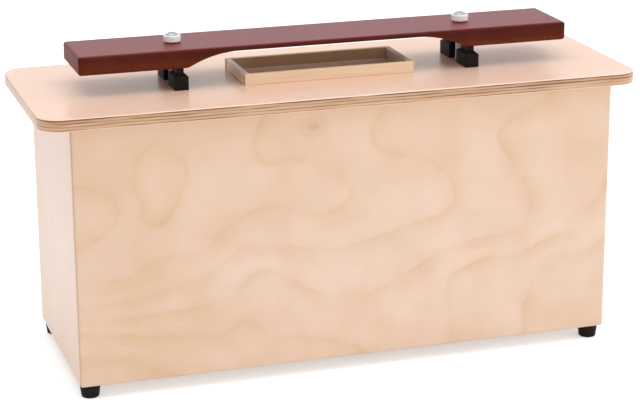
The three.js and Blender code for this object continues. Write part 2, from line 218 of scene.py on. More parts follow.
def shade(code):
    """Linear colour of an sRGB hex code: each channel c is c/12.92 up to 0.04045, and
    ((c+0.055)/1.055)^2.4 above."""
    channel = np.array([int(code[i:i + 2], 16) for i in (0, 2, 4)]) / 255
    linear = np.where(channel <= 0.04045, channel / 12.92, ((channel + 0.055) / 1.055) ** 2.4)
    return (*linear, 1.0)


def feed(node, inputs):
    """Sets each of a node's inputs to a value, or links an output to it."""
    for key, value in inputs.items():
        if isinstance(value, bpy.types.NodeSocket):
            node.id_data.links.new(value, node.inputs[key])
        else:
            node.inputs[key].default_value = value


def add_node(tree, kind, inputs, out=0, **settings):
    """Adds one node to a tree, with its settings, feeds its inputs and gives the output asked for. Numbered
    inputs: of a MapRange, 0 is the value, 1 and 2 are its range and 3 and 4 what that turns into; of a
    colour Mix, 0 is the share and 6 and 7 are the colours."""
    node = tree.nodes.new("ShaderNode" + kind)
    for key, value in settings.items():
        setattr(node, key, value)
    feed(node, inputs)
    return node.outputs[out] if node.outputs else None


def start_finish(name):
    """A new material, its shader, what adds nodes to its tree, and the place of a point on the piece in m."""
    finish = bpy.data.materials.new(name)
    finish.use_nodes = True
    tree = finish.node_tree
    add = partial(add_node, tree)
    return finish, tree.nodes["Principled BSDF"], add, add("TexCoord", {}, "Object")


def birch_plywood(name, tones, thickness, plies, grain, strength, skin_depth=FACE_VENEER, highlight=0.0,
                  figured=True):
    """Birch plywood, sanded and lacquered to a satin coat. The eye sees a pale pinkish veneer with soft
    brown ring lines, fibre streaks of about 18 x 0.7 mm and a pin knot in a halo. Where an edge cuts
    through, plies are pale along the grain and brown on the end grain, fainter on the short edges
    and browner towards the left end by painted shade, between arrises that carry a painted highlight."""
    finish, shader, add, place = start_finish(name)
    wobble = add("TexNoise", {"Vector": place, "Scale": 90.0, "Detail": 3.0})
    if figured:
        names = ("ring", "slope", "knot", "warmth")
        ring, slope, knot, warmth = (add("Attribute", {}, "Fac", attribute_name=name) for name in names)
    else:
        broad = add("Mapping", {"Vector": place, "Scale": (3.0, 9.0, 9.0)})
        ring = add("TexNoise", {"Vector": broad, "Scale": 1.0, "Detail": 1.0})
        ring = add("Math", {0: ring, 1: 7.0}, operation="MULTIPLY")
        slope, knot, warmth = 0.02, 0.0, 0.5

    # Late wood: by the mm from the nearest ring, it is darkest at the ring and fades out quickly on the
    # ring's inner side and slowly on its outer side. Some stretches of a ring show less than others.
    whole = add("Math", {0: ring}, operation="ROUND")
    past = add("Math", {0: ring, 1: whole}, operation="SUBTRACT")
    slope = add("Math", {0: slope, 1: LEAST_SLOPE}, operation="MAXIMUM")
    past = add("Math", {0: past, 1: slope}, operation="DIVIDE")
    past = add("Math", {0: wobble, 1: RING_WOBBLE, 2: past}, operation="MULTIPLY_ADD")
    past = add("Math", {0: past, 1: RING_WOBBLE / 2}, operation="SUBTRACT")
    outside = add("Math", {0: past, 1: 0.0}, operation="MAXIMUM")
    inside = add("Math", {0: past, 1: 0.0}, operation="MINIMUM")
    fade = add("Math", {0: outside, 1: -1 / RING_FADE}, operation="MULTIPLY")
    fade = add("Math", {0: inside, 1: 1 / RING_LINE, 2: fade}, operation="MULTIPLY_ADD")
    fade = add("Math", {0: fade}, operation="EXPONENT")
    line = add("Math", {0: past}, operation="ABSOLUTE")
    line = add("Math", {0: line, 1: -1 / RING_LINE}, operation="MULTIPLY")
    line = add("Math", {0: line}, operation="EXPONENT")
    late = add("Math", {0: line, 1: RING_EDGE, 2: fade}, operation="MULTIPLY_ADD")
    cover = add("TexNoise", {"Vector": place, "Scale": 27.0, "Detail": 2.0})
    least, most = (share * strength for share in RING_COVER)
    cover = add("MapRange", {0: cover, 1: 0.3, 2: 0.7, 3: least, 4: most})
    late = add("Math", {0: late, 1: cover}, operation="MULTIPLY")

    # Veneer: a second tone in patches of about 60 mm, a warmer one in clouds, and the knot in its halo.
    # On the walls the warmer tone also lays a band of painted shade under the lid.
    patchy = add("TexNoise", {"Vector": place, "Scale": 16.0, "Detail": 2.0})
    patchy = add("MapRange", {0: patchy, 1: 0.35, 2: 0.65, 3: 0.0, 4: 0.8})
    cloud = add("TexNoise", {"Vector": place, "Scale": 21.0, "Detail": 2.0})
    swing = CLOUDINESS * strength
    cloud = add("MapRange", {0: cloud, 1: 0.3, 2: 0.7, 3: -swing, 4: swing})
    warmth = add("Math", {0: warmth, 1: cloud}, operation="ADD", use_clamp=True)
    halo = add("MapRange", {0: knot, 1: 0.25, 2: 0.5, 3: 0.0, 4: KNOT_HALO})
    eye = add("MapRange", {0: knot, 1: 0.75, 2: 0.98, 3: 0.0, 4: KNOT_EYE})
    eye = add("Math", {0: halo, 1: eye}, operation="ADD")

    # Fibre streaks, drawn three times as wide as the real ones so that they show at this distance.
    along = add("Mapping", {"Vector": place, "Scale": grain})
    fibre = add("TexNoise", {"Vector": along, "Scale": 1.0, "Detail": 3.0, "Roughness": 0.6})
    streak = add("MapRange", {0: fibre, 1: 0.3, 2: 0.75, 3: 0.0, 4: FIBRE_TINT})

    # Plies lie crosswise in turn under the thin face veneers: on a cut edge one is pale along the grain,
    # the next brown on its end grain, with a thin glue line between them.
    depth = add("Attribute", {}, "Fac", attribute_name="depth")
    layer = add("Math", {0: wobble, 1: PLY_WOBBLE, 2: depth}, operation="MULTIPLY_ADD")
    layer = add("Math", {0: layer, 1: FACE_VENEER + PLY_WOBBLE / 2}, operation="SUBTRACT")
    ply = (thickness - 2 * FACE_VENEER) / (plies - 2)
    turn = add("Math", {0: layer, 1: math.pi / ply}, operation="MULTIPLY")
    band = add("Math", {0: turn}, operation="SINE")
    cross = {0: band, 1: 0.0, 2: 0.8, 3: 0.06, 4: 0.9}
    cross = add("MapRange", cross, interpolation_type="SMOOTHSTEP")
    glue = add("Math", {0: band}, operation="ABSOLUTE")
    glue = add("MapRange", {0: glue, 1: 0.0, 2: 0.3, 3: 0.3, 4: 0.0})
    cross = add("Math", {0: cross, 1: glue}, operation="MAXIMUM")
    pores = add("TexNoise", {"Vector": place, "Scale": 900.0, "Detail": 2.0})
    cross = add("Math", {0: pores, 1: cross, 2: cross}, operation="MULTIPLY_ADD")

    # Stain on the cut plies: in level streaks, less on the lower plies and on the short edges of a board.
    # Painted shade makes them more tan towards the board's left end and dims the painted arris highlight
    # there.
    level = add("Mapping", {"Vector": place, "Scale": (22, 22, 600)})
    stain = add("TexNoise", {"Vector": level, "Scale": 1.0, "Detail": 2.0})
    stain = add("MapRange", {0: stain, 1: 0.36, 2: 0.64, 3: 0.3, 4: 1.0})
    upper = {0: depth, 1: 0.35 * thickness, 2: 0.7 * thickness, 3: 1.0, 4: LOWER_PLY_STAIN}
    upper = add("MapRange", upper)
    stain = add("Math", {0: stain, 1: upper}, operation="MULTIPLY")
    ends = add("SeparateXYZ", {0: add("NewGeometry", {}, "Normal")}, "X")
    ends = add("Math", {0: ends}, operation="ABSOLUTE")
    ends = add("MapRange", {0: ends, 1: 0.35, 2: 0.9, 3: 1.0, 4: SHORT_EDGE_STAIN})
    stain = add("Math", {0: stain, 1: ends}, operation="MULTIPLY")
    cross = add("Math", {0: cross, 1: stain}, operation="MULTIPLY")
    reach = add("SeparateXYZ", {0: place}, "X")
    # Painted shade: the cut plies turn more tan towards the left end.
    brown = add("MapRange", {0: reach, 1: LEFT_PAINTED_SHADE_FROM * MM, 2: LEFT_PAINTED_SHADE_TO * MM, 3: 1.15, 4: 0.7})
    tan = add("Math", {0: stain, 1: brown}, operation="MULTIPLY", use_clamp=True)
    edge = add("Mix", {0: tan, 6: shade(PLY_LONG), 7: shade(PLY_TAN)}, 2, data_type="RGBA")
    edge = add("Mix", {0: cross, 6: edge, 7: shade(PLY_END)}, 2, data_type="RGBA")
    behind = add("Math", {0: thickness, 1: depth}, operation="SUBTRACT")
    inward = add("Math", {0: depth, 1: behind}, operation="MINIMUM")
    cut = add("MapRange", {0: inward, 1: skin_depth - 0.15, 2: skin_depth + 0.1, 3: 0.0, 4: 1.0})
    # Painted highlight on the arrises, where they round through the face veneer, less on the lower arris.
    arris_highlight = add("MapRange", {0: inward, 1: 0.02, 2: 0.2, 3: 0.0, 4: highlight})
    arris_highlight = add("Math", {0: arris_highlight, 1: upper}, operation="MULTIPLY")
    # Painted shade: the painted arris highlight dims towards the left end.
    left = add("MapRange", {0: reach, 1: LEFT_PAINTED_SHADE_FROM * MM, 2: LEFT_PAINTED_SHADE_TO * MM, 3: 0.2, 4: 1.0})
    arris_highlight = add("Math", {0: arris_highlight, 1: left}, operation="MULTIPLY")

    # Colour: the tones of the face laid over each other in turn, and the plies where it is cut through.
    veneer = shade(tones[0])
    for share, tone in ((patchy, tones[1]), (warmth, tones[2]), (late, BIRCH_RING), (eye, BIRCH_KNOT),
                        (streak, BIRCH_RING), (arris_highlight, ARRIS_HIGHLIGHT)):
        veneer = add("Mix", {0: share, 6: veneer, 7: shade(tone)}, 2, data_type="RGBA")
    colour = add("Mix", {0: cut, 6: veneer, 7: edge}, 2, data_type="RGBA")
    dull = add("Math", {0: cut, 1: 0.12, 2: 0.36}, operation="MULTIPLY_ADD")
    dull = add("Math", {0: fibre, 1: 0.12, 2: dull}, operation="MULTIPLY_ADD")
    relief = add("Bump", {"Height": fibre, "Strength": 0.12, "Distance": 0.0004})
    feed(shader, {"Base Color": colour, "Roughness": dull, "IOR": 1.5, "Coat Weight": 0.5,
                  "Coat Roughness": 0.2, "Normal": relief})
    return finish


def quarter_round(radius, steps):
    """A rounded edge, by equal steps of an angle a: how far it draws in, r*(1-sin a), and how far along it
    has come, r*(1-cos a)."""
    angle = np.linspace(0, math.pi / 2, steps)
    return radius * (1 - np.sin(angle)), radius * (1 - np.cos(angle))


def wall_board(half, place):
    """A mitred wall. Along it, its plan runs straight and turns 45 degrees round each corner's centre; down
    it, the plan draws in by R*(1-sin a) while it drops by R*(1-cos a) round the lower edge. place
    turns (along, depth, height) into x, y, z."""
    low, high = (corner[2] for corner in box_mm("front_panel"))
    bend = np.radians([0, 12, 24, 34, 41, 45])
    straight = half - WALL_CORNER
    middle = np.linspace(-straight, straight, int(2 * straight / VENEER_STEP) + 2)[1:-1]
    turn = np.concatenate([-bend[::-1], np.zeros(len(middle)), bend])[:, None]
    centre = np.concatenate([np.full(len(bend), -straight), middle, np.full(len(bend), straight)])[:, None]
    groove = np.zeros(len(turn))[:, None]
    groove[[0, -1]] = MITRE_GAP
    pull, go = quarter_round(WALL_FOOT_ROUND, 6)
    rise = np.arange(low + WALL_FOOT_ROUND + VENEER_STEP, high, VENEER_STEP)
    inset = np.concatenate([pull, np.zeros(len(rise) + 1)])[None]
    height = np.concatenate([low + go, rise, [high]])[None]
    reach = WALL_CORNER - inset - groove
    along = centre + reach * np.sin(turn)
    depth = WALL_CORNER - reach * np.cos(turn)
    height = np.broadcast_to(height, along.shape)
    inner = along[:, -1:] * (half - WALL_THICKNESS) / along[-1, -1]
    back = np.array([[high, low + 1.0, low]])
    along = np.concatenate([along, np.broadcast_to(inner, (len(inner), 3))], 1)
    depth = np.concatenate([depth, np.full((len(inner), 3), WALL_THICKNESS)], 1)
    height = np.concatenate([height, np.broadcast_to(back, (len(inner), 3))], 1)
    return along, depth, height, np.stack(place(along, depth, height), -1)


box_half_x = box_mm("front_panel")[1][0]
_, front_face, box_foot = box_mm("front_panel")[0]
box_half_y = -front_face
wall_ply = birch_plywood("birch_plywood_lacquered_upright", WALL_TONES, WALL_THICKNESS, WALL_PLIES,
                         WALL_GRAIN, strength=1.0, skin_depth=WALL_SKIN)
end_ply = birch_plywood("birch_plywood_lacquered_ends", END_TONES, WALL_THICKNESS, WALL_PLIES,
                        WALL_GRAIN, strength=0.4, skin_depth=WALL_SKIN)

# Each wall has its half length, the way it stands in the box and its sheet of rings. The walls behind the
# front take other parts of the same log, shifted and stretched.
WALLS = {
    "front": (box_half_x, lambda run, deep, tall: (run, deep - box_half_y, tall), ring_number),
    "rear": (box_half_x, lambda run, deep, tall: (-run, box_half_y - deep, tall),
             lambda run, up: ring_number(40 - 0.8 * run, 262 - up)),
    "left_end": (box_half_y, lambda run, deep, tall: (deep - box_half_x, -run, tall),
                 lambda run, up: ring_number(40 + 0.5 * run, 90 + 0.35 * up)),
    "right_end": (box_half_y, lambda run, deep, tall: (box_half_x - deep, run, tall),
                  lambda run, up: ring_number(-20 + 0.6 * run, 170 - 0.4 * up)),
}
for side, (half, place, rings) in WALLS.items():
    along, depth, height, grid = wall_board(half, place)
    up = height - box_foot
    ring, slope = figure(rings, along, up)
    knot = bell(along, up, KNOT, KNOT_HALF) if side == "front" else np.zeros(along.shape)
    warmth = sheet_warmth(along * box_half_x / half, up)
    wall = skin(side + "_wall", grid, ring=ring, slope=slope, knot=knot, warmth=warmth, depth=depth)
    fix_on(wall, "box", "birch_ply", end_ply if "end" in side else wall_ply, side + "_panel")

# Corner battens and node rails: square sticks of planed pine glued inside the box. The battens hold
# the walls and the foot screws, and the rails under the lid take the screws of the bar.
PINE_EARLY = "e3c593"
PINE_LATE = "b98a52"


def planed_pine(name, along, across):
    """Pine, planed and left bare: pale yellow early wood and orange late wood in stripes of about 3 mm
    that follow the stick, with a dull dry surface."""
    finish, shader, add, place = start_finish(name)
    stretched = add("Mapping", {"Vector": place, "Scale": along})
    sway = add("TexNoise", {"Vector": stretched, "Scale": 1.0, "Detail": 3.0})
    flow = add("VectorMath", {0: place, 1: across}, "Value", operation="DOT_PRODUCT")
    flow = add("Math", {0: sway, 1: 2.2, 2: flow}, operation="MULTIPLY_ADD")
    year = add("Math", {0: flow}, operation="FRACT")
    late = add("Math", {0: year, 1: 3.0}, operation="POWER")
    colour = add("Mix", {0: late, 6: shade(PINE_EARLY), 7: shade(PINE_LATE)}, 2, data_type="RGBA")
    dull = add("Math", {0: late, 1: -0.12, 2: 0.72}, operation="MULTIPLY_ADD")
    relief = add("Bump", {"Height": late, "Strength": 0.3, "Distance": 0.0003})
    feed(shader, {"Base Color": colour, "Roughness": dull, "Normal": relief})
    return finish


batten_pine = planed_pine("pine_planed_upright", along=(40, 40, 4), across=(300, 160, 0))
rail_pine = planed_pine("pine_planed_crosswise", along=(40, 4, 40), across=(220, 0, 260))
for node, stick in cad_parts.items():
    if node.startswith(("corner_batten", "node_rail")):
        dress(stick, rail_pine if node.startswith("node_rail") else batten_pine)

# Bottom panel: a sheet of thin birch plywood let in between the walls, flush with their lower edges.
# It is the same veneer as the walls, with a plainer figure.
BOTTOM_THICKNESS = 6.0
BOTTOM_PLIES = 5
BOARD_GRAIN = (55, 1400, 1400)
bottom_ply = birch_plywood("birch_plywood_lacquered_bottom", WALL_TONES, BOTTOM_THICKNESS, BOTTOM_PLIES,
                           BOARD_GRAIN, strength=0.6, figured=False)
dress(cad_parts["bottom_panel"], bottom_ply)

# Lid: a board of 12 mm birch plywood with rounded corners, glued on the walls so that it stands out
# past them. The sound port is sawn through its middle, and both faces are lacquered like the walls.
LID_CORNER = 21.0
LID_ARRIS = 0.9
LID_SHOULDER = 0.5
LID_SKIN = 0.8
# Share of the painted highlight on the lid's arrises.
LID_HIGHLIGHT = 0.6
LID_PLIES = 9
# Paler than the walls' tones: in part the lid's own veneer, in part painted light from above on its top.
LID_LIT_TONES = ("f8cfb7", "f8d4c1", "f2c9ae")
LID_ROWS = 26
LID_LAST_ROW = 0.985
LID_ROW_CROWDING = 1.3
LID_SIDE_POINTS = (72, 26)
PORT_HALF = (81.5, 32.0)
PORT_CORNER = 0.4
SCREW_HOLE = 2.5
CUTTER_SIDES = 48
CUTTER_PAST = 5


def frame_ring(half_x, half_y, radius, arc=12, sides=LID_SIDE_POINTS):
    """Outline of a rectangle with rounded corners, with as many points for any size: an arc of equal
    steps at each corner, and equal steps along each side."""
    quarter = np.linspace(0, math.pi / 2, arc + 1)
    spin = np.concatenate([quarter + k * math.pi / 2 for k in range(4)])
    signs = np.repeat([(1, 1), (-1, 1), (-1, -1), (1, -1)], len(quarter), axis=0)
    bend = signs * (half_x - radius, half_y - radius) + radius * np.c_[np.cos(spin), np.sin(spin)]
    corners = bend.reshape(4, -1, 2)
    runs = []
    for k in range(4):
        share = np.linspace(0, 1, sides[k % 2] + 2)[1:-1, None]
        runs += [corners[k], corners[k][-1] * (1 - share) + corners[(k + 1) % 4][0] * share]
    return np.concatenate(runs)


def carve(piece, *cutters):
    """Takes the cutters out of a piece by an exact Boolean difference and removes them."""
    for cutter in cutters:
        bite = piece.modifiers.new("bite", "BOOLEAN")
        bite.operation = "DIFFERENCE"
        bite.solver = "EXACT"
        bite.object = cutter
    cut = bpy.data.meshes.new_from_object(piece.evaluated_get(bpy.context.evaluated_depsgraph_get()))
    piece.modifiers.clear()
    piece.data = cut
    cut.set_sharp_from_angle(angle=math.radians(SHARP_ANGLE))
    for cutter in cutters:
        bpy.data.objects.remove(cutter)


def drill_bits(name, radius, low, high):
    """Round cutters at the bar's two still points: a circle at two heights, past the piece at both ends."""
    spin = np.linspace(0, 2 * math.pi, CUTTER_SIDES, endpoint=False)
    bits = []
    for x in (-node_x, node_x):
        circle = np.c_[x + radius * np.cos(spin), radius * np.sin(spin)]
        levels = (low - CUTTER_PAST, high + CUTTER_PAST)
        bits.append(skin(name, np.stack([np.c_[circle, np.full(CUTTER_SIDES, z)] for z in levels])))
    return bits


lid_low, lid_high = box_mm("lid")
lid_half = (lid_high - lid_low)[:2] / 2
node_x = sum(corner[0] for corner in box_mm("bar_screw_right")) / 2
arris, drop = quarter_round(LID_ARRIS, 6)
outer = [frame_ring(*(lid_half - inset), LID_CORNER - inset) for inset in arris]
share = np.append(LID_LAST_ROW * np.linspace(0, 1, LID_ROWS - 1) ** LID_ROW_CROWDING, 1)[:, None, None]
mouth = frame_ring(*PORT_HALF, PORT_CORNER)
rim = LID_ARRIS + LID_SHOULDER
shoulder = frame_ring(*(lid_half - rim), LID_CORNER - rim)
face = shoulder * (1 - share) + mouth * share
flat = np.concatenate([np.array(outer), np.array(outer[::-1]), face, face[::-1]])
level = np.concatenate([lid_low[2] + drop, lid_high[2] - drop[::-1],
                        np.full(LID_ROWS, lid_high[2]), np.full(LID_ROWS, lid_low[2])])
lid_grid = np.concatenate([flat, np.broadcast_to(level[:, None, None], (*flat.shape[:2], 1))], -1)


def lid_figure(across, back):
    """Ring number on the lid: long tongues along it, a slope across it bent by two waves."""
    return (2.2 + 0.011 * back + 0.9 * np.sin(across / 95 + 0.8) * np.cos(back / 70)
            + 0.35 * np.sin(across / 41 + back / 33))


# The sawn mouth of the port counts as face veneer: it shows no plies.
lid_depth = lid_high[2] - level
lid_mouth = 2 * len(drop) + LID_ROWS
lid_depth[[lid_mouth - 1, lid_mouth]] = 0.0
ring, slope = figure(lid_figure, lid_grid[..., 0], lid_grid[..., 1])
lid = skin("lid_board", lid_grid, "join", ring=ring, slope=slope, warmth=0.2, depth=lid_depth[:, None])
carve(lid, *drill_bits("lid_drill", SCREW_HOLE, lid_low[2], lid_high[2]))
lid_ply = birch_plywood("birch_plywood_lacquered_flat", LID_LIT_TONES, lid_high[2] - lid_low[2], LID_PLIES,
                        BOARD_GRAIN, strength=0.2, skin_depth=LID_SKIN, highlight=LID_HIGHLIGHT)
fix_on(lid, "box", "lid_birch_ply", lid_ply, "lid")

# Port frame: four planed strips of solid birch glued on edge round the sound port, the long ones past
# the ends of the short ones. Their edges are just taken off with sandpaper.
STRIP_EDGE = 0.7
END_ROW = 0.3
LONG_FACE = "e4cbaf"
SHORT_FACE = "f4d8c2"
STRIP_LINE = "cfa981"
# Painted shade on the strips' faces inside the port, under the bar.
STRIP_INSIDE_SHADE = "b07a4c"
STRIP_TOP = "ffd9a8"
# Painted shade: the browner top of the right strip, which lies partly in the bar's shadow.
STRIP_TOP_SHADED = "e7bb92"
STRIP_END = "c99a66"


def outline(corners, radii, steps=5, shoulder=0.35):
    """Closed outline with rounded corners and its outward normals. Where two sides turn by an angle a, an
    arc of radius r starts r*tan(a/2) before the corner and turns by a. A point just outside each
    end of the arc keeps the flat sides flat in shading."""
    corners = np.asarray(corners, float)
    radius = np.broadcast_to(np.asarray(radii, float), len(corners))[:, None]
    leave = np.roll(corners, -1, 0) - corners
    leave /= np.linalg.norm(leave, axis=1, keepdims=True)
    come = np.roll(leave, 1, 0)
    turn = np.arctan2(come[:, 0] * leave[:, 1] - come[:, 1] * leave[:, 0], (come * leave).sum(1))[:, None]
    angle = np.arctan2(come[:, 1], come[:, 0])[:, None] - math.pi / 2 + turn * np.linspace(0, 1, steps + 1)
    normal = np.stack([np.cos(angle), np.sin(angle)], -1)
    start = corners - come * radius * np.tan(np.abs(turn) / 2)
    bulge = (np.sign(turn) * radius)[:, :, None]
    arc = start[:, None] - bulge * normal[:, :1] + bulge * normal
    before, after = arc[:, :1] - shoulder * come[:, None], arc[:, -1:] + shoulder * leave[:, None]
    points = np.concatenate([before, arc, after], 1)
    normals = np.concatenate([normal[:, :1], normal, normal[:, -1:]], 1)
    return points.reshape(-1, 2), normals.reshape(-1, 2)


def end_rounding(edge, steps):
    """How a stick's ends are rounded, from its very end inwards: like any rounded edge, with one more row
    that is drawn in further and keeps the end flat in shading."""
    pull, go = quarter_round(edge, steps)
    return np.append(edge + END_ROW, pull), np.append(0.0, go)


def eased_stick(name, corners, edge, low, high, axis):
    """Carries a rounded outline from low to high along an axis, with rounded arrises at both ends."""
    points, normals = outline(corners, edge)
    pull, go = end_rounding(edge, 5)
    inset = np.concatenate([pull, pull[::-1]])
    level = np.concatenate([low + go, high - go[::-1]])
    rings = np.empty((len(level), len(points), 3))
    rings[..., [k for k in range(3) if k != axis]] = points - inset[:, None, None] * normals
    rings[..., axis] = level[:, None]
    return skin(name, rings)


def planed_birch(name, face, top, inside_shade, coat, along, end):
    """Solid birch, planed and oiled, with a clear coat on the strips that have one: straight pale grain with
    thin tan lines about 1.2 mm apart along the strip, a warm tone on top, painted shade that browns the
    faces towards the port's middle, and darker, yellower end grain with dots of pores on the strip's ends."""
    finish, shader, add, place = start_finish(name)
    stretched = add("Mapping", {"Vector": place, "Scale": along})
    grain = add("TexNoise", {"Vector": stretched, "Scale": 1.0, "Detail": 4.0, "Roughness": 0.6})
    line = add("MapRange", {0: grain, 1: 0.42, 2: 0.72, 3: 0.0, 4: 0.55})
    normal = add("NewGeometry", {}, "Normal")
    spot = add("VectorMath", {0: place, 1: (1, 1, 0)}, operation="MULTIPLY")
    # Painted shade on the faces that look towards the port's middle.
    inside = add("VectorMath", {0: normal, 1: spot}, "Value", operation="DOT_PRODUCT")
    inside = add("MapRange", {0: inside, 1: -0.018, 2: -0.028, 3: 0.0, 4: inside_shade})
    above = add("SeparateXYZ", {0: normal}, "Z")
    above = add("MapRange", {0: above, 1: 0.5, 2: 0.9, 3: 0.0, 4: 0.8})
    facing = add("VectorMath", {0: normal, 1: end}, "Value", operation="DOT_PRODUCT")
    facing = add("Math", {0: facing}, operation="ABSOLUTE")
    facing = add("MapRange", {0: facing, 1: 0.6, 2: 0.9, 3: 0.0, 4: 0.75})
    pores = add("TexVoronoi", {"Vector": place, "Scale": 1100.0})
    mottle = add("Math", {0: pores, 1: 0.5, 2: 0.6}, operation="MULTIPLY_ADD")
    facing = add("Math", {0: facing, 1: mottle}, operation="MULTIPLY")
    colour = shade(face)
    for share, tone in ((line, STRIP_LINE), (inside, STRIP_INSIDE_SHADE), (above, top), (facing, STRIP_END)):
        colour = add("Mix", {0: share, 6: colour, 7: shade(tone)}, 2, data_type="RGBA")
    dull = add("Math", {0: grain, 1: 0.2, 2: 0.38}, operation="MULTIPLY_ADD")
    relief = add("Bump", {"Height": grain, "Strength": 0.15, "Distance": 0.0003})
    feed(shader, {"Base Color": colour, "Roughness": dull, "Specular IOR Level": 0.2,
                  "Coat Weight": coat, "Coat Roughness": 0.2, "Normal": relief})
    return finish


LENGTHWISE = {"along": (14, 800, 800), "end": (1, 0, 0)}
CROSSWISE = {"along": (800, 14, 800), "end": (0, 1, 0)}
long_birch = planed_birch("birch_planed_lengthwise", LONG_FACE, STRIP_TOP,
                          inside_shade=0.7, coat=0.0, **LENGTHWISE)
left_birch = planed_birch("birch_planed_crosswise", SHORT_FACE, STRIP_TOP,
                          inside_shade=0.2, coat=0.5, **CROSSWISE)
# The right strip's material paints shade on its top with the browner tone.
right_birch_shaded = planed_birch("birch_planed_crosswise_shaded", SHORT_FACE, STRIP_TOP_SHADED,
                           inside_shade=0.2, coat=0.0, **CROSSWISE)
STRIPS = {"front": (0, long_birch), "rear": (0, long_birch),
          "left": (1, left_birch), "right": (1, right_birch_shaded)}
for side, (axis, birch) in STRIPS.items():
    low, high = box_mm("port_strip_" + side)
    keep = [k for k in range(3) if k != axis]
    (near, base), (far, top) = low[keep], high[keep]
    section = [(near, base), (far, base), (far, top), (near, top)]
    strip = eased_stick("port_frame_" + side, section, STRIP_EDGE, low[axis], high[axis], axis)
    fix_on(strip, "box", "birch_strip", birch, "port_strip_" + side)

# Feet: tapered round buffers of moulded black rubber with a well in the sole, where a pan-head screw
# with a washer holds each one to the box.
FOOT_TOP = 10.2
FOOT_SOLE = 8.6
FOOT_WELL = 4.8
FOOT_ROOF = 6.0
FOOT_BORE = 2.4
FOOT_ROUNDS = [0.1, 0.3, 0.5, 1.8, 0.4, 0.1]
RUBBER_BLACK = "0f0b09"
RUBBER_WORN = "1e1a19"


def turned(name, corners, radii, x, y, steps=5, sides=64):
    """A closed profile of radius and height turned once round an upright axis at x, y."""
    profile, _ = outline(corners, radii, steps, shoulder=0.15)
    spin = np.linspace(0, 2 * math.pi, sides, endpoint=False)
    rings = np.stack([x + profile[:, :1] * np.cos(spin), y + profile[:, :1] * np.sin(spin),
                      np.broadcast_to(profile[:, 1:], (len(profile), sides))], -1)
    return skin(name, rings, "join")


def moulded_rubber(name):
    """Black rubber from a mould: a dull skin with a fine grain of about half a millimetre, and a grey
    bloom in soft patches."""
    finish, shader, add, place = start_finish(name)
    bloom = add("TexNoise", {"Vector": place, "Scale": 140.0, "Detail": 4.0})
    bloom = add("MapRange", {0: bloom, 1: 0.4, 2: 0.75, 3: 0.0, 4: 0.6})
    colour = add("Mix", {0: bloom, 6: shade(RUBBER_BLACK), 7: shade(RUBBER_WORN)}, 2, data_type="RGBA")
    grain = add("TexNoise", {"Vector": place, "Scale": 1900.0, "Detail": 2.0})
    dull = add("Math", {0: grain, 1: 0.2, 2: 0.48}, operation="MULTIPLY_ADD")
    relief = add("Bump", {"Height": grain, "Strength": 0.25, "Distance": 0.0002})
    feed(shader, {"Base Color": colour, "Roughness": dull, "Specular IOR Level": 0.13, "Normal": relief})
    return finish


rubber = moulded_rubber("rubber_moulded_black")
CORNER_NAMES = [row + "_" + side for row in ("front", "rear") for side in ("left", "right")]
foot_places = {}
for corner in CORNER_NAMES:
    low, high = box_mm("foot_" + corner)
    x, y = foot_places[corner] = (low + high)[:2] / 2
    roof = high[2] - FOOT_ROOF
    foot = turned("foot_buffer_" + corner, [
        (FOOT_BORE, roof), (FOOT_WELL, roof), (FOOT_WELL, 0), (FOOT_SOLE, 0),
        (FOOT_TOP, high[2]), (FOOT_BORE, high[2])], FOOT_ROUNDS, x, y)
    fix_on(foot, "box", "rubber", rubber, "foot_" + corner)

# Foot washers and foot screws: pressed washers and cross-head wood screws, bright zinc plated, driven
# up through the feet into the corner battens.
ZINC = "c3cad3"
ZINC_DARK = "8d949e"
WASHER_OUT = 4.4
WASHER_IN = 2.4
WASHER_ROUND = 0.2
THREAD_CORE = 0.68
THREAD_STEPS = 8
TIP_RADIUS = 0.12
SCREW_SIDES = 40
QUARTER_TURN = np.array([(0, 1), (-1, 0)])
FOOT_SCREW = {"head": 3.7, "rim": 0.8, "dome": 1.6, "shank": 2.0, "tip": 4.0, "thread": 22.0,
              "pitch": 1.8, "span": 4.0, "slot": 0.9, "bite": 1.3}


def zinc_plate(name):
    """Steel, bright zinc plated: a cool silver skin, a little cloudy, with a fine grain."""
    finish, shader, add, place = start_finish(name)
    cloud = add("TexNoise", {"Vector": place, "Scale": 420.0, "Detail": 4.0})
    cloud = add("MapRange", {0: cloud, 1: 0.35, 2: 0.75, 3: 0.0, 4: 0.6})
    colour = add("Mix", {0: cloud, 6: shade(ZINC), 7: shade(ZINC_DARK)}, 2, data_type="RGBA")
    dull = add("Math", {0: cloud, 1: 0.2, 2: 0.2}, operation="MULTIPLY_ADD")
    fine = add("TexNoise", {"Vector": place, "Scale": 2600.0, "Detail": 2.0})
    relief = add("Bump", {"Height": fine, "Strength": 0.12, "Distance": 0.0001})
    feed(shader, {"Base Color": colour, "Metallic": 1.0, "Roughness": dull, "Normal": relief})
    return finish


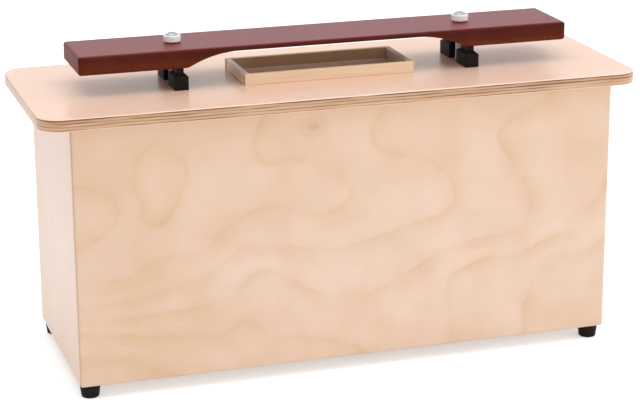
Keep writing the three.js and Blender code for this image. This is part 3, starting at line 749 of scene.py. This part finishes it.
def cross_screw(name, x, y, crown, up, length, head, rim, dome, shank, tip, thread, pitch, span, slot, bite):
    """A wood screw, turned about its own axis. From the crown down, the head is a cap of a ball of radius
    (head^2+dome^2)/(2*dome), then a rim; the shank runs to a cone; past the plain part the radius at
    depth w and angle a is a ridge at the whole numbers of w/pitch - a/360. A tapered cross is cut out."""
    ball = (head ** 2 + dome ** 2) / (2 * dome)
    lean = np.linspace(0.035, 1, 12) * math.asin(head / ball)
    over = np.c_[ball * np.sin(lean), ball * (1 - np.cos(lean))]
    seat = dome + rim
    edge = np.array([(head, seat - 0.25), (head - 0.07, seat - 0.07), (head - 0.25, seat),
                     (shank + 0.4, seat), (shank, seat + 0.3)])
    depth = np.arange(seat + 1.0, seat + length, pitch / THREAD_STEPS)
    body = np.c_[np.minimum(shank, TIP_RADIUS + (seat + length - depth) * shank / tip), depth]
    profile = np.concatenate([over, edge, body])
    spin = np.linspace(0, 2 * math.pi, SCREW_SIDES, endpoint=False)
    radius, down = profile[:, :1], profile[:, 1:]
    wave = np.abs((down / pitch - spin / (2 * math.pi)) % 1 - 0.5) / 0.5
    ridge = THREAD_CORE + (1 - THREAD_CORE) * np.clip((wave - 0.35) / 0.5, 0, 1)
    radius = radius * np.where(down > seat + length - thread, ridge, 1.0)
    rings = np.stack([x + radius * np.cos(spin), y + up * radius * np.sin(spin),
                      np.broadcast_to(crown - up * down, radius.shape)], -1)
    screw = skin(name, rings, sharp=BLUNT_ANGLE)
    rows = []
    for sunk, grow in ((-0.7, 1.28), (0.5, 1.0), (bite, 0.42)):
        far, near = span / 2 * grow, slot / 2 * (0.6 + 0.4 * grow)
        arm = np.array([(far, -near), (far, near), (near, near)])
        cross = np.concatenate([arm @ np.linalg.matrix_power(QUARTER_TURN, k) for k in range(4)])
        rows.append(np.c_[x + cross[:, 0], y + cross[:, 1], np.full(len(cross), crown - up * sunk)])
    carve(screw, skin("cross_punch", np.array(rows)))
    return screw


zinc = zinc_plate("steel_zinc_plated")
for corner, (x, y) in foot_places.items():
    low, high = box_mm("foot_washer_" + corner)
    washer = turned("foot_ring_" + corner, [
        (WASHER_IN, low[2]), (WASHER_OUT, low[2]), (WASHER_OUT, high[2]), (WASHER_IN, high[2])],
        WASHER_ROUND, x, y, steps=3, sides=48)
    fix_on(washer, "box", "plated_steel", zinc, "foot_washer_" + corner)
    low, high = box_mm("foot_screw_" + corner)
    length = high[2] - low[2] - FOOT_SCREW["rim"] - FOOT_SCREW["dome"]
    pin = cross_screw("foot_pin_" + corner, x, y, low[2], -1, length, **FOOT_SCREW)
    fix_on(pin, "box", "plated_steel", zinc, "foot_screw_" + corner)

# Support blocks: moulded black rubber, wide at the foot and bevelled all round to a narrow neck. A front
# and a rear block glued on the lid carry the bar under each of its two still points.
BLOCK_FOOT = 13.0
BLOCK_BEVEL = 3.0
BLOCK_CORE = -4.0
BLOCK_DRAW_IN = (3.75, 4.0)
BLOCK_ROUND = 0.8
BLOCK_ROUNDS = [0.1, 0.5, 0.9, 0.8, 0.5, 0.1]


def bevelled_block(name, low, high):
    """A block from rounded rectangles, one above the other. Its profile gives how far each one draws in,
    as a share of the way from the foot (0) to the neck (1), at each height. Its two corners at the
    core only close it and are dropped."""
    tall = high[2] - low[2]
    wide = BLOCK_DRAW_IN[0]
    corners = [(BLOCK_CORE, 0), (wide, 0), (wide, BLOCK_FOOT), (0, BLOCK_FOOT + BLOCK_BEVEL), (0, tall),
               (BLOCK_CORE, tall)]
    profile = outline(corners, BLOCK_ROUNDS)[0].reshape(len(corners), -1, 2)[1:5].reshape(-1, 2)
    drawn = np.outer(1 - profile[:, 0] / wide, BLOCK_DRAW_IN)
    half = (high - low)[:2] / 2 - drawn
    middle = (low + high)[:2] / 2
    flat = middle + np.array([frame_ring(*size, BLOCK_ROUND, arc=4, sides=(3, 3)) for size in half])
    height = np.broadcast_to(low[2] + profile[:, 1, None, None], (*flat.shape[:2], 1))
    return skin(name, np.concatenate([flat, height], -1))


for corner in CORNER_NAMES:
    block = bevelled_block("rubber_block_" + corner, *box_mm("support_block_" + corner))
    fix_on(block, "box", "rubber", rubber, "support_block_" + corner)

# Sound bar: one stick of rosewood, planed, with all arrises rounded and hollowed underneath to tune it.
# It is oiled and polished, lies on the rubber blocks and has a hole for a collar at each still point.
BAR_ROUND = 3.2
CROWN_ROUND = [1.6, 1.6, 2.6, 2.6]
BAR_END_ROUND = 2.8
ARCH_CROWN = 92.0
ARCH_RUN = 50.0
ARCH_RISE = 13.5
ARCH_STEPS = 4001
ARCH_SOFTNESS = 61
BAR_HOLE = 5.05
ROSE_SIDE = "300f10"
# Painted sheen: the lighter red laid on the bar's top and in part on its ends.
ROSE_TOP_SHEEN = "782b33"
ROSE_DARK = "3a120e"
# Orange laid on in random patches and as painted light reflected from the lid towards the underside.
ROSE_ORANGE = "602a18"
ROSE_GLOSS = "e88060"


def rosewood(name, low, high):
    """Rosewood, planed, oiled and polished: deep red brown with darker streaks 2 to 6 mm wide along the
    bar, a painted sheen that makes it redder on top and in part on its ends, painted light reflected from
    the lid that makes it more orange towards its underside, short open pores about 6 x 0.3 mm, and a
    satin gloss that is a little duller on the end grain."""
    finish, shader, add, place = start_finish(name)
    long = add("Mapping", {"Vector": place, "Scale": (5, 130, 130)})
    streak = {"Vector": long, "Scale": 1.0, "Detail": 4.0, "Roughness": 0.55, "Distortion": 0.6}
    streak = add("TexNoise", streak)
    warm = add("TexNoise", {"Vector": place, "Scale": 24.0, "Detail": 2.0})
    dark = add("MapRange", {0: streak, 1: 0.42, 2: 0.72, 3: 0.0, 4: 0.55})
    # Painted light reflected from the lid: more orange lower down the bar and on faces that look down.
    lid_bounce = add("SeparateXYZ", {0: place}, "Z")
    lid_bounce = add("MapRange", {0: lid_bounce, 1: (high[2] - 3) * MM, 2: low[2] * MM, 3: 0.05, 4: 0.85})
    normal = add("NewGeometry", {}, "Normal")
    upward = add("SeparateXYZ", {0: normal}, "Z")
    lid_bounce_below = add("MapRange", {0: upward, 1: 0.0, 2: -0.6, 3: -0.45, 4: 0.2})
    glow = add("Math", {0: warm, 1: 0.9, 2: lid_bounce}, operation="MULTIPLY_ADD")
    glow = add("Math", {0: glow, 1: lid_bounce_below}, operation="ADD", use_clamp=True)
    # Painted sheen on the faces that look up, where the dark streaks are damped, and in part on the ends.
    facing = add("MapRange", {0: upward, 1: 0.5, 2: 0.95, 3: 0.0, 4: 1.0})
    calm = add("Math", {0: facing, 1: -0.6, 2: 1.0}, operation="MULTIPLY_ADD")
    dark = add("Math", {0: dark, 1: calm}, operation="MULTIPLY")
    ends = add("Math", {0: add("SeparateXYZ", {0: normal}, "X")}, operation="ABSOLUTE")
    ends = add("MapRange", {0: ends, 1: 0.7, 2: 0.95, 3: 0.0, 4: 0.6})
    facing = add("Math", {0: facing, 1: ends}, operation="MAXIMUM")
    short = add("Mapping", {"Vector": place, "Scale": (150, 2600, 2600)})
    pore = add("TexNoise", {"Vector": short, "Scale": 1.0, "Detail": 1.0})
    pore = add("MapRange", {0: pore, 1: 0.62, 2: 0.72, 3: 0.0, 4: 0.6})
    colour = shade(ROSE_SIDE)
    for share, tone in ((glow, ROSE_ORANGE), (facing, ROSE_TOP_SHEEN), (dark, ROSE_DARK), (pore, ROSE_DARK)):
        colour = add("Mix", {0: share, 6: colour, 7: shade(tone)}, 2, data_type="RGBA")
    dull = add("Math", {0: pore, 1: 0.3, 2: 0.36}, operation="MULTIPLY_ADD")
    dull = add("Math", {0: ends, 1: 0.3, 2: dull}, operation="MULTIPLY_ADD")
    relief = add("Bump", {"Height": pore, "Strength": 0.2, "Distance": 0.0002}, invert=True)
    feed(shader, {"Base Color": colour, "Roughness": dull, "IOR": 1.47,
                  "Specular Tint": shade(ROSE_GLOSS), "Normal": relief})
    return finish


def arched_stick(name, low, high):
    """The bar: at each place along it, a rounded section from the underside to the top. The underside rises
    by an arc of radius (run^2+rise^2)/(2*rise) to a level crown, blended softly at both its ends, and the
    corner radii go over from the thick to the thin section with it; the bar's ends are rounded."""
    pull, go = end_rounding(BAR_END_ROUND, 7)
    spring = ARCH_CROWN + ARCH_RUN
    flank = np.concatenate([np.linspace(low[0] + 4, -spring - 6, 12),
                            np.linspace(-spring - 4, -ARCH_CROWN + 4, 44)])
    inner = np.concatenate([flank, np.linspace(-ARCH_CROWN + 8, ARCH_CROWN - 8, 24), -flank[::-1]])
    along = np.concatenate([low[0] + go, inner, high[0] - go[::-1]])
    inset = np.concatenate([pull, np.zeros(len(inner)), pull[::-1]])
    fine = np.linspace(low[0], high[0], ARCH_STEPS)
    radius = (ARCH_RUN ** 2 + ARCH_RISE ** 2) / (2 * ARCH_RISE)
    into = np.clip(np.abs(fine) - ARCH_CROWN, 0, ARCH_RUN)
    under = np.where(np.abs(fine) < spring, ARCH_RISE - radius + np.sqrt(radius ** 2 - into ** 2), 0)
    soft = np.hanning(ARCH_SOFTNESS)
    under = np.convolve(np.pad(under, ARCH_SOFTNESS // 2, "edge"), soft / soft.sum(), "valid")
    under = np.interp(along, fine, under)
    corners = [(low[1], low[2]), (high[1], low[2]), (high[1], high[2]), (low[1], high[2])]
    thick, _ = outline(corners, BAR_ROUND, steps=6, shoulder=0.4)
    thin, normal = outline(corners, CROWN_ROUND, steps=6, shoulder=0.4)
    drawn = thick + (under / ARCH_RISE)[:, None, None] * (thin - thick) - inset[:, None, None] * normal
    lift = np.where(thick[:, 1] < (low[2] + high[2]) / 2, 1, 0) * under[:, None]
    rings = np.stack([np.broadcast_to(along[:, None], lift.shape), drawn[..., 0], drawn[..., 1] + lift], -1)
    return skin(name, rings, sharp=BLUNT_ANGLE)


low, high = box_mm("sound_bar")
bar = arched_stick("sound_bar_stick", low, high)
carve(bar, *drill_bits("bar_drill", BAR_HOLE, low[2], high[2]))
fix_on(bar, "bar", "rosewood", rosewood("rosewood_oiled_polished", low, high), "sound_bar")

# Collars: flanged sleeves moulded in white polyamide. They stand on the lid inside the holes of the
# bar, and their flanges keep the bar from jumping off.
SLEEVE = 3.8
FLANGE = 8.6
FLANGE_HEIGHT = 6.75
COLLAR_BORE = 2.5
COLLAR_ROUNDS = [0.2, 0.5, 0.3, 1.2, 1.3, 0.3]
NYLON = "f3eee9"
NYLON_SHADE = "e2dad2"
NODE_SIDES = {"left": -node_x, "right": node_x}


def moulded_nylon(name):
    """White polyamide from a mould: milky and slightly glossy, with a soft cream cast in patches."""
    finish, shader, add, place = start_finish(name)
    cast = add("TexNoise", {"Vector": place, "Scale": 260.0, "Detail": 3.0})
    colour = add("Mix", {0: cast, 6: shade(NYLON), 7: shade(NYLON_SHADE)}, 2, data_type="RGBA")
    fine = add("TexNoise", {"Vector": place, "Scale": 1500.0, "Detail": 2.0})
    dull = add("Math", {0: fine, 1: 0.15, 2: 0.3}, operation="MULTIPLY_ADD")
    relief = add("Bump", {"Height": fine, "Strength": 0.08, "Distance": 0.0002})
    feed(shader, {"Base Color": colour, "Roughness": dull, "IOR": 1.53, "Normal": relief})
    return finish


nylon = moulded_nylon("polyamide_moulded_white")
for side, x in NODE_SIDES.items():
    low, high = box_mm("bar_collar_" + side)
    flange = high[2] - FLANGE_HEIGHT
    collar = turned("collar_" + side, [
        (COLLAR_BORE, low[2]), (SLEEVE, low[2]), (SLEEVE, flange),
        (FLANGE, flange), (FLANGE, high[2]), (COLLAR_BORE, high[2])], COLLAR_ROUNDS, x, 0)
    fix_on(collar, side + "_collar", "white_plastic", nylon, "bar_collar_" + side)

# Bar screws: long round-head wood screws with a cross recess, zinc plated, which hold the collars down
# through the lid into the node rails.
BAR_SCREW_LENGTH = 70.0
BAR_SCREW = {"head": 6.3, "rim": 0.6, "dome": 2.1, "shank": 2.1, "tip": 6.0, "thread": 36.0,
             "pitch": 2.5, "span": 6.4, "slot": 1.2, "bite": 1.6}
for side, x in NODE_SIDES.items():
    crown = box_mm("bar_collar_" + side)[1][2] + BAR_SCREW["rim"] + BAR_SCREW["dome"]
    screw = cross_screw("round_screw_" + side, x, 0, crown, 1, BAR_SCREW_LENGTH, **BAR_SCREW)
    fix_on(screw, side + "_screw", "plated_steel", zinc, "bar_screw_" + side)

# Studio: a white paper floor in a white room, soft lamps above, in front and to the right, a lit backdrop
# that shows in no gloss, and the camera where the photograph was taken from. Floor and room show white
# to the camera, and the floor keeps a faint shadow.
CAMERA_AZIMUTH = -17.511
CAMERA_ELEVATION = 17.269
CAMERA_ROLL = -0.276
CAMERA_DISTANCE = 2.08672
CAMERA_TARGET = (0.0004, 0.0002, 0.1389)
CAMERA_LENS = 115.28
CAMERA_SENSOR = 36.0
ROOM_FILL = 0.71
LAMPS = [
    ("soft_box_above", (-0.1, -0.3, 2.1), (2.2, 1.5), 1.4, "fffcfa"),
    ("soft_box_front", (0.6, -2.8, 0.95), (2.2, 1.3), 1.7, "fffcfa"),
    ("soft_box_right", (2.6, -0.9, 0.8), (1.8, 1.0), 2.2, "fffcfa"),
    ("bright_backdrop", (0.2, 2.8, 0.85), (3.2, 1.0), 2.0, "e0e5ff"),
]
LAMP_AIM = (0, 0, 0.2)
FLOOR_REACH = 6.0
FLOOR_WHITE = "f4f4f4"
FLOOR_LIFT = 0.45


def in_view(add):
    """1 on rays by which the camera sees a thing, straight, in a gloss or through glass, else 0."""
    seen = add("LightPath", {}, "Is Camera Ray")
    for way in ("Is Glossy Ray", "Is Transmission Ray"):
        seen = add("Math", {0: seen, 1: add("LightPath", {}, way)}, operation="MAXIMUM")
    return seen


edge = FLOOR_REACH
floor_mesh = bpy.data.meshes.new("floor")
floor_mesh.from_pydata([(-edge, -edge, 0), (edge, -edge, 0), (edge, edge, 0), (-edge, edge, 0)], [],
                       [(0, 1, 2, 3)])
floor = bpy.data.objects.new("floor", floor_mesh)
bpy.context.collection.objects.link(floor)
paper = bpy.data.materials.new("paper_backdrop_white")
paper.use_nodes = True
paper.node_tree.nodes.clear()
add = partial(add_node, paper.node_tree)
lift = add("Math", {0: in_view(add), 1: FLOOR_LIFT}, operation="MULTIPLY")
matt = add("BsdfDiffuse", {"Color": shade(FLOOR_WHITE)})
glow = add("Emission", {"Color": shade("ffffff"), "Strength": lift})
add("OutputMaterial", {"Surface": add("AddShader", {0: matt, 1: glow})})
floor_mesh.materials.append(paper)

room = bpy.data.worlds.new("room_white")
room.use_nodes = True
bpy.context.scene.world = room
room.node_tree.nodes.clear()
add = partial(add_node, room.node_tree)
level = add("MapRange", {0: in_view(add), 1: 0.0, 2: 1.0, 3: ROOM_FILL, 4: 1.0})
sky = add("Background", {"Color": shade("ffffff"), "Strength": level})
add("OutputWorld", {"Surface": sky})

for name, spot, size, strength, tone in LAMPS:
    lamp = bpy.data.lights.new(name, "AREA")
    lamp.shape = "RECTANGLE"
    lamp.size, lamp.size_y = size
    lamp.energy = strength * math.pi * size[0] * size[1]
    lamp.color = shade(tone)[:3]
    soft_box = bpy.data.objects.new(name, lamp)
    soft_box.location = spot
    soft_box.rotation_euler = (Vector(LAMP_AIM) - soft_box.location).to_track_quat("-Z", "Y").to_euler()
    soft_box.visible_glossy = name != "bright_backdrop"
    bpy.context.collection.objects.link(soft_box)

azimuth, elevation, roll = (math.radians(angle) for angle in (CAMERA_AZIMUTH, CAMERA_ELEVATION, CAMERA_ROLL))
back = Vector((math.sin(azimuth) * math.cos(elevation), -math.cos(azimuth) * math.cos(elevation),
               math.sin(elevation)))
level_right = Vector((math.cos(azimuth), math.sin(azimuth), 0))
level_up = back.cross(level_right)
right = math.cos(roll) * level_right + math.sin(roll) * level_up
up = math.cos(roll) * level_up - math.sin(roll) * level_right
camera = bpy.data.cameras.new("camera")
camera.lens = CAMERA_LENS
camera.sensor_width = CAMERA_SENSOR
viewer = bpy.data.objects.new("camera", camera)
spot = Vector(CAMERA_TARGET) + CAMERA_DISTANCE * back
viewer.matrix_world = Matrix([(right[k], up[k], back[k], spot[k]) for k in range(3)] + [(0, 0, 0, 1)])
bpy.context.collection.objects.link(viewer)
bpy.context.scene.camera = viewer
bpy.context.scene.view_settings.view_transform = "Standard"
